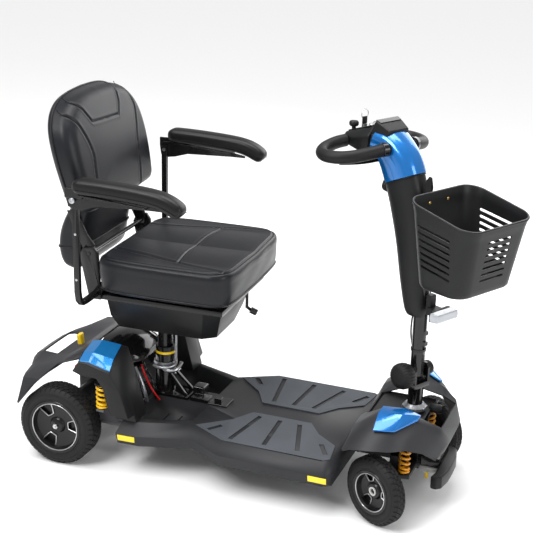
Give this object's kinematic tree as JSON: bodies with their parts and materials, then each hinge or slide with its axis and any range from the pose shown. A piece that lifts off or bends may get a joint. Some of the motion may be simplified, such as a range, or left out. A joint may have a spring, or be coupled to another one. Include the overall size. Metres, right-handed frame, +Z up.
{
  "type": "four-wheel mobility scooter",
  "caption": "Portable four-wheel mobility scooter: swivelling padded seat with folding back and armrests, folding tiller with loop handles and basket, sprung axles.",
  "frame": {"origin": "middle of the footprint, on the ground", "axes": "+X towards the tiller and front wheels, +Y to the rider's left, +Z up"},
  "size_m": [1.3768, 0.6666, 1.024],
  "materials": {
    "paint_frame": "satin",
    "moulding": "textured",
    "panel_blue": "glossy",
    "gloss_black": "glossy",
    "tyre": "rubber",
    "rim": "semi-gloss",
    "vinyl": "grained vinyl",
    "mat": "grained",
    "soft_grip": "matte",
    "spring_paint": "gloss",
    "bare_steel": "satin",
    "yellow_plastic": "glossy",
    "lamp": "clear",
    "grey_metal": "satin"
  },
  "bodies": {
    "chassis": {"main_frame": "paint_frame", "deck_pan": "moulding", "deck_mat_left": "mat", "deck_mat_right": "mat", "post_socket": "paint_frame", "battery_connector": "gloss_black", "rear_shroud": "moulding", "motor_cover": "gloss_black", "rear_fender_left": "moulding", "rear_fender_right": "moulding", "front_fairing": "moulding", "front_panel_left": "panel_blue", "front_panel_right": "panel_blue", "front_bumper": "moulding", "rear_spring_left": "spring_paint", "rear_spring_right": "spring_paint", "front_spring_left": "spring_paint", "front_spring_right": "spring_paint"},
    "clamp": {"post_clamp": "bare_steel"},
    "freewheel": {"freewheel_lever": "yellow_plastic"},
    "rear_axle": {"transaxle": "grey_metal", "swing_frame": "grey_metal"},
    "rear_wheel_left": {"rim_rear_left": "rim", "tyre_rear_left": "tyre"},
    "rear_wheel_right": {"rim_rear_right": "rim", "tyre_rear_right": "tyre"},
    "arm_left": {"front_arm_left": "grey_metal"},
    "arm_right": {"front_arm_right": "grey_metal"},
    "steer_knuckle_left": {"knuckle_left": "grey_metal"},
    "steer_knuckle_right": {"knuckle_right": "grey_metal"},
    "front_wheel_left": {"rim_front_left": "rim", "tyre_front_left": "tyre"},
    "front_wheel_right": {"rim_front_right": "rim", "tyre_front_right": "tyre"},
    "steering_rod": {"tie_rod": "bare_steel"},
    "stem": {"steering_stem": "paint_frame"},
    "knob": {"fold_knob": "soft_grip"},
    "tiller": {"tiller_tube": "paint_frame", "tiller_shroud": "moulding", "tiller_cover": "panel_blue", "console": "moulding", "handlebar_left": "soft_grip", "handlebar_right": "soft_grip", "headlight": "lamp"},
    "throttle": {"throttle_lever": "gloss_black"},
    "dial": {"speed_dial": "gloss_black"},
    "horn": {"horn_button": "bare_steel"},
    "key": {"ignition_key": "bare_steel"},
    "front_basket": {"basket": "moulding"},
    "post": {"seat_post": "paint_frame"},
    "seat": {"seat_frame": "paint_frame", "under_seat_box": "moulding", "seat_cushion": "vinyl"},
    "swivel_release": {"swivel_lever": "moulding"},
    "backrest": {"back_frame": "paint_frame", "back_pad": "vinyl"},
    "arm_support_left": {"armrest_tube_left": "paint_frame"},
    "arm_support_right": {"armrest_tube_right": "paint_frame"},
    "armrest_l": {"armrest_left": "soft_grip"},
    "armrest_r": {"armrest_right": "soft_grip"}
  },
  "joints": [
    {"name": "post_clamp_turn", "type": "hinge", "parent": "chassis", "child": "clamp", "pos_m": [-0.30736, -0.00114, 0.246], "axis": [0, 0, 1], "range_deg": [0, 60]},
    {"name": "freewheel_tip", "type": "hinge", "parent": "chassis", "child": "freewheel", "pos_m": [-0.56436, -0.03014, 0.266], "axis": [0, 1, 0], "range_deg": [-30, 0]},
    {"name": "rear_suspension", "type": "hinge", "parent": "chassis", "child": "rear_axle", "pos_m": [-0.37436, -0.00114, 0.106], "axis": [0, 1, 0], "range_deg": [0, 4], "stiffness_Nm_per_rad": 200, "springref_deg": -22.92, "deforming": ["rear_spring_left", "rear_spring_right"]},
    {"name": "rear_wheel_left_spin", "type": "hinge", "parent": "rear_axle", "child": "rear_wheel_left", "pos_m": [-0.52236, -0.00114, 0.1143], "axis": [0, 1, 0], "continuous": true},
    {"name": "rear_wheel_right_spin", "type": "hinge", "parent": "rear_axle", "child": "rear_wheel_right", "pos_m": [-0.52236, -0.00114, 0.1143], "axis": [0, 1, 0], "continuous": true},
    {"name": "front_suspension_left", "type": "hinge", "parent": "chassis", "child": "arm_left", "pos_m": [0.42564, 0.05936, 0.116], "axis": [1, 0, 0], "range_deg": [0, 6], "stiffness_Nm_per_rad": 40, "springref_deg": -28.65, "deforming": ["front_spring_left"]},
    {"name": "front_suspension_right", "type": "hinge", "parent": "chassis", "child": "arm_right", "pos_m": [0.42564, -0.06164, 0.116], "axis": [1, 0, 0], "range_deg": [-6, 0], "stiffness_Nm_per_rad": 40, "springref_deg": 28.65, "deforming": ["front_spring_right"]},
    {"name": "knuckle_left_turn", "type": "hinge", "parent": "arm_left", "child": "steer_knuckle_left", "pos_m": [0.41664, 0.15586, 0], "axis": [0, 0, 1], "range_deg": [-15, 71]},
    {"name": "knuckle_right_turn", "type": "hinge", "parent": "arm_right", "child": "steer_knuckle_right", "pos_m": [0.41664, -0.15814, 0], "axis": [0, 0, 1], "range_deg": [-15, 71]},
    {"name": "front_wheel_left_spin", "type": "hinge", "parent": "steer_knuckle_left", "child": "front_wheel_left", "pos_m": [0.41664, 0.15586, 0.0931], "axis": [0.4695, 0.8829, 0], "continuous": true},
    {"name": "front_wheel_right_spin", "type": "hinge", "parent": "steer_knuckle_right", "child": "front_wheel_right", "pos_m": [0.41664, -0.15814, 0.0931], "axis": [0.4695, 0.8829, 0], "continuous": true},
    {"name": "tie_rod_slide", "type": "slide", "parent": "chassis", "child": "steering_rod", "axis": [0, 1, 0], "range_m": [-0.0525, 0.0125]},
    {"name": "steering", "type": "hinge", "parent": "chassis", "child": "stem", "pos_m": [0.42864, -0.00114, 0], "axis": [0, 0, 1], "range_deg": [-14, 70]},
    {"name": "fold_knob_turn", "type": "hinge", "parent": "stem", "child": "knob", "pos_m": [0.42864, -0.00114, 0.352], "axis": [0.4695, 0.8829, 0], "continuous": true},
    {"name": "tiller_fold", "type": "hinge", "parent": "stem", "child": "tiller", "pos_m": [0.42864, -0.00114, 0.352], "axis": [0.4695, 0.8829, 0], "range_deg": [-20, 15]},
    {"name": "throttle", "type": "hinge", "parent": "tiller", "child": "throttle", "pos_m": [0.26794, 0.0843, 0.89], "axis": [0, 0, 1], "range_deg": [-12, 12], "stiffness_Nm_per_rad": 0.3},
    {"name": "speed_dial_turn", "type": "hinge", "parent": "tiller", "child": "dial", "pos_m": [0.19393, 0.09421, 0.966], "axis": [0, 0, 1], "range_deg": [-135, 135]},
    {"name": "horn_press", "type": "slide", "parent": "tiller", "child": "horn", "axis": [0, 0, -1], "range_m": [0, 0.001], "stiffness_N_per_m": 400, "springref_m": -0.001},
    {"name": "ignition_turn", "type": "hinge", "parent": "tiller", "child": "key", "pos_m": [0.21596, 0.11647, 0.966], "axis": [0, 0, 1], "range_deg": [0, 90]},
    {"name": "basket_lift", "type": "slide", "parent": "tiller", "child": "front_basket", "axis": [0, 0, 1], "range_m": [0, 0.12]},
    {"name": "seat_height", "type": "slide", "parent": "chassis", "child": "post", "axis": [0, 0, 1], "range_m": [0, 0.075]},
    {"name": "seat_swivel", "type": "hinge", "parent": "post", "child": "seat", "pos_m": [-0.30736, -0.00114, 0.36], "axis": [0, 0, 1], "continuous": true},
    {"name": "swivel_release_pull", "type": "hinge", "parent": "seat", "child": "swivel_release", "pos_m": [-0.08659, 0.06661, 0.477], "axis": [-0.0349, 0.9994, 0], "range_deg": [-15, 0], "stiffness_Nm_per_rad": 0.5, "springref_deg": 5.73},
    {"name": "backrest_fold", "type": "hinge", "parent": "seat", "child": "backrest", "pos_m": [-0.45427, -0.00627, 0.608], "axis": [-0.0349, 0.9994, 0], "range_deg": [0, 60]},
    {"name": "armrest_width_left", "type": "slide", "parent": "seat", "child": "arm_support_left", "axis": [-0.0349, 0.9994, 0], "range_m": [0, 0.04]},
    {"name": "armrest_width_right", "type": "slide", "parent": "seat", "child": "arm_support_right", "axis": [0.0349, -0.9994, 0], "range_m": [0, 0.04]},
    {"name": "armrest_flip_left", "type": "hinge", "parent": "arm_support_left", "child": "armrest_l", "pos_m": [-0.44232, 0.28182, 0.794], "axis": [-0.0349, 0.9994, 0], "range_deg": [-95, 0]},
    {"name": "armrest_flip_right", "type": "hinge", "parent": "arm_support_right", "child": "armrest_r", "pos_m": [-0.42225, -0.29283, 0.794], "axis": [-0.0349, 0.9994, 0], "range_deg": [-95, 0]}
  ],
  "couplings": [
    {"joint": "knuckle_left_turn", "follows": "steering", "ratio": 1},
    {"joint": "knuckle_right_turn", "follows": "steering", "ratio": 1},
    {"joint": "tie_rod_slide", "follows": "steering", "m_per_rad": -0.0405}
  ]
}
